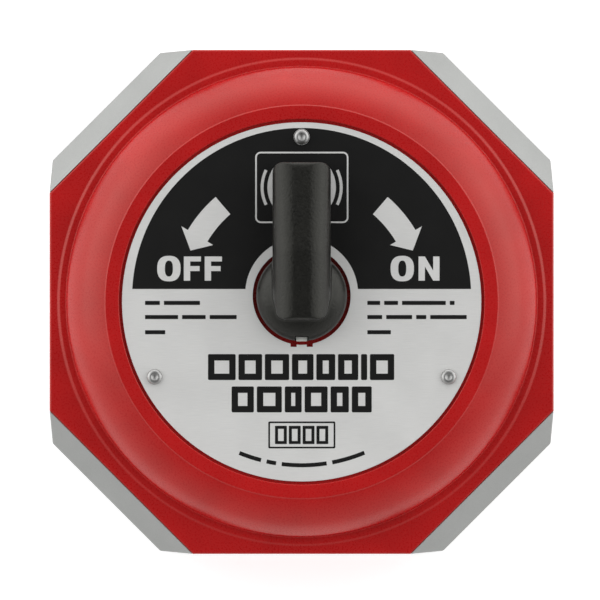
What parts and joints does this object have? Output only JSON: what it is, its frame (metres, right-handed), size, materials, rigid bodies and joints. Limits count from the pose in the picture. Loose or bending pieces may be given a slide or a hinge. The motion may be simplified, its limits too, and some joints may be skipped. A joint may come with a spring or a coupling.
{
  "type": "switchable magnetic holder",
  "caption": "Octagonal switchable permanent-magnet holder with steel pole shoes at its cut corners, a red domed housing and a turning on-off lever.",
  "frame": {"origin": "centre of the octagonal base, on its flat resting face", "axes": "+Z out of the labelled face, +Y towards the top of the label, which the lever points to at rest, +X towards the ON side"},
  "size_m": [0.15, 0.15, 0.0652],
  "materials": {
    "red_coat": "cast aluminium under a finely textured, semi-gloss red powder coat",
    "pole_steel": "ground mild steel, matte plated",
    "base_steel": "non-magnetic stainless sheet, ground",
    "label_aluminium": "fine horizontal brushing, printed black and silver",
    "rivet_metal": "bright drive rivet",
    "black_plastic": "moulded black nylon, fine satin texture",
    "white_inlay": "white pressed-in mark",
    "nickel_plate": "nickel-plated sintered magnet",
    "rotor_aluminium": "turned",
    "spindle_steel": "turned non-magnetic stainless",
    "bronze": "turned bronze",
    "bright_steel": "hardened and ground",
    "screw_steel": "blackened stainless",
    "seal_rubber": "nitrile ring"
  },
  "bodies": {
    "holder": {"housing": "red_coat", "base_plate": "base_steel", "pole_shoe_ne": "pole_steel", "shoe_screw_ne_1": "screw_steel", "shoe_screw_ne_2": "screw_steel", "pole_shoe_nw": "pole_steel", "shoe_screw_nw_1": "screw_steel", "shoe_screw_nw_2": "screw_steel", "pole_shoe_sw": "pole_steel", "shoe_screw_sw_1": "screw_steel", "shoe_screw_sw_2": "screw_steel", "pole_shoe_se": "pole_steel", "shoe_screw_se_1": "screw_steel", "shoe_screw_se_2": "screw_steel", "housing_screw_1": "screw_steel", "housing_screw_2": "screw_steel", "housing_screw_3": "screw_steel", "housing_screw_4": "screw_steel", "label_plate": "label_aluminium", "label_rivet_1": "rivet_metal", "label_rivet_2": "rivet_metal", "label_rivet_3": "rivet_metal", "lower_magnet": "nickel_plate", "magnet_dowel_1": "bright_steel", "magnet_dowel_2": "bright_steel", "lower_bush": "bronze", "magnet_separator": "bronze", "upper_bush": "bronze", "spindle_seal": "seal_rubber", "detent_ball": "bright_steel", "detent_spring": "spindle_steel", "detent_plug": "screw_steel"},
    "switch": {"rotor_carrier": "rotor_aluminium", "upper_magnet": "nickel_plate", "drive_dowel_1": "bright_steel", "drive_dowel_2": "bright_steel", "stop_pin": "bright_steel", "spindle": "spindle_steel", "spindle_screw_1": "screw_steel", "spindle_screw_2": "screw_steel", "spindle_screw_3": "screw_steel", "thrust_washer": "bronze", "lever": "black_plastic", "lever_pin": "bright_steel", "index_mark": "white_inlay"}
  },
  "joints": [
    {"name": "lever_turn", "type": "hinge", "parent": "holder", "child": "switch", "pos_m": [0, 0.0018, 0.04], "axis": [0, 0, 1], "range_deg": [-90, 90]}
  ]
}
